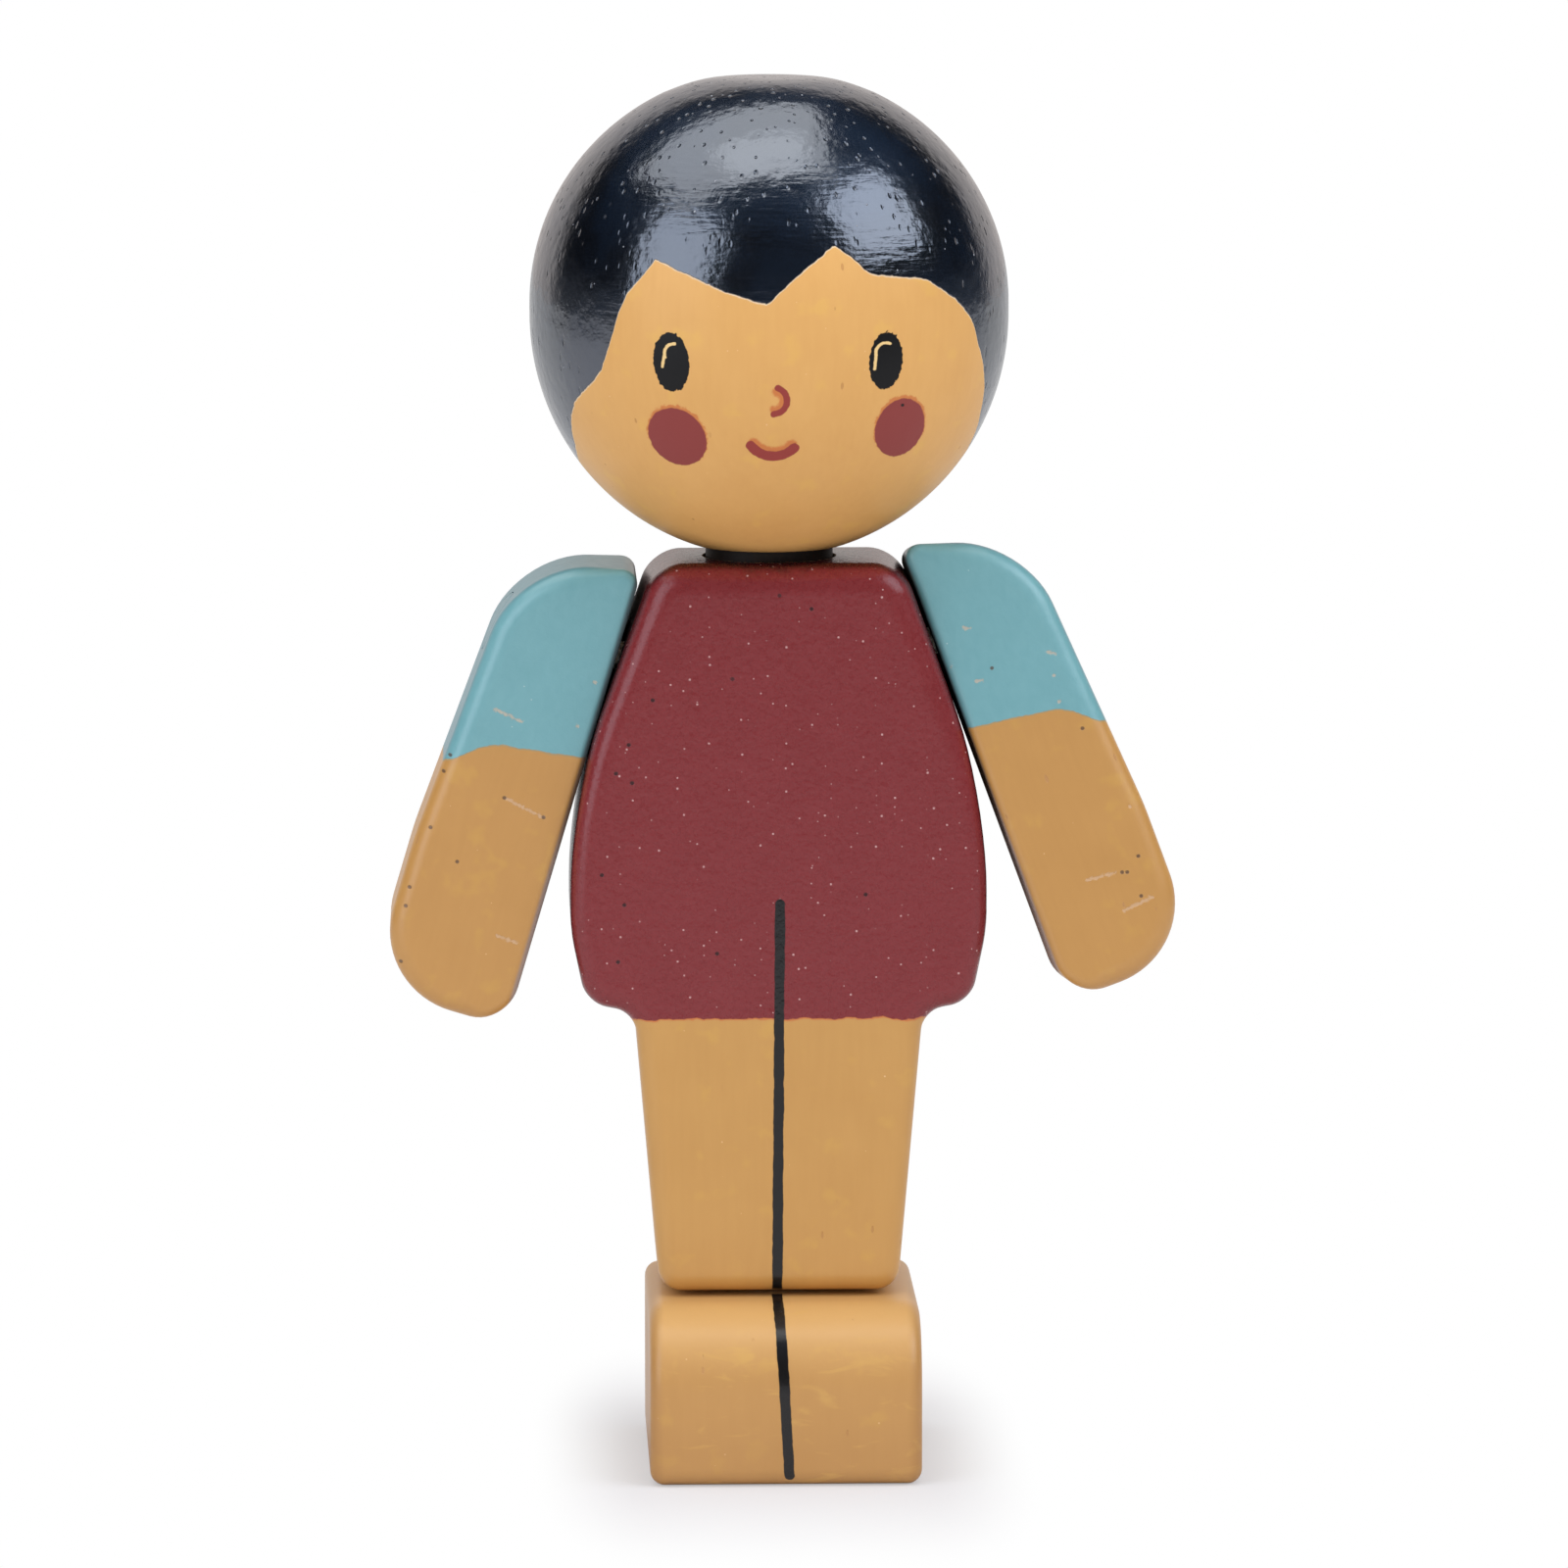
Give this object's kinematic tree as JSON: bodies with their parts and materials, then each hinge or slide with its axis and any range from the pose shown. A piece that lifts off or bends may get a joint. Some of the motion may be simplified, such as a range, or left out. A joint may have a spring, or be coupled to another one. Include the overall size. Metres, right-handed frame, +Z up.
{
  "type": "dollhouse figure",
  "caption": "Painted wooden dollhouse figure: a ball head on a neck dowel, a sawn torso and legs on a foot block, and two arms that swing on an elastic cord.",
  "frame": {"origin": "on the floor under the sole, midway across the torso and legs and midway through their thickness", "axes": "+Z up, the figure faces -Y, +X towards the figure's own left hand"},
  "size_m": [0.0494, 0.03, 0.0873],
  "materials": {
    "head_paint": "satin skin-coloured paint with glossy navy-black painted hair over turned wood",
    "body_paint": "satin maroon paint on the torso and skin-coloured paint on the legs, over a sawn and sanded board",
    "arm_paint": "satin teal paint on the sleeve and skin-coloured paint on the forearm",
    "foot_paint": "satin skin-coloured paint",
    "neck_wood": "thinly painted dowel",
    "bare_wood": "bare hardwood dowel",
    "elastic": "off-white covered elastic cord"
  },
  "bodies": {
    "torso": {"torso_and_legs": "body_paint", "neck_dowel": "neck_wood", "feet": "foot_paint", "right_ankle_dowel": "bare_wood", "left_ankle_dowel": "bare_wood", "shoulder_elastic": "elastic"},
    "head": {"head": "head_paint"},
    "right_arm": {"right_arm": "arm_paint", "right_arm_plug": "arm_paint"},
    "left_arm": {"left_arm": "arm_paint", "left_arm_plug": "arm_paint"}
  },
  "joints": [
    {"name": "head_turn", "type": "hinge", "parent": "torso", "child": "head", "pos_m": [-0.00045, 0, 0.07281], "axis": [0, 0, 1], "continuous": true},
    {"name": "right_shoulder", "type": "hinge", "parent": "torso", "child": "right_arm", "pos_m": [-0.01033, 0, 0.051], "axis": [-0.9583, 0, 0.2857], "range_deg": [-120, 120]},
    {"name": "left_shoulder", "type": "hinge", "parent": "torso", "child": "left_arm", "pos_m": [0.00989, 0, 0.0518], "axis": [-0.9379, 0, -0.3469], "range_deg": [-125, 111]}
  ]
}
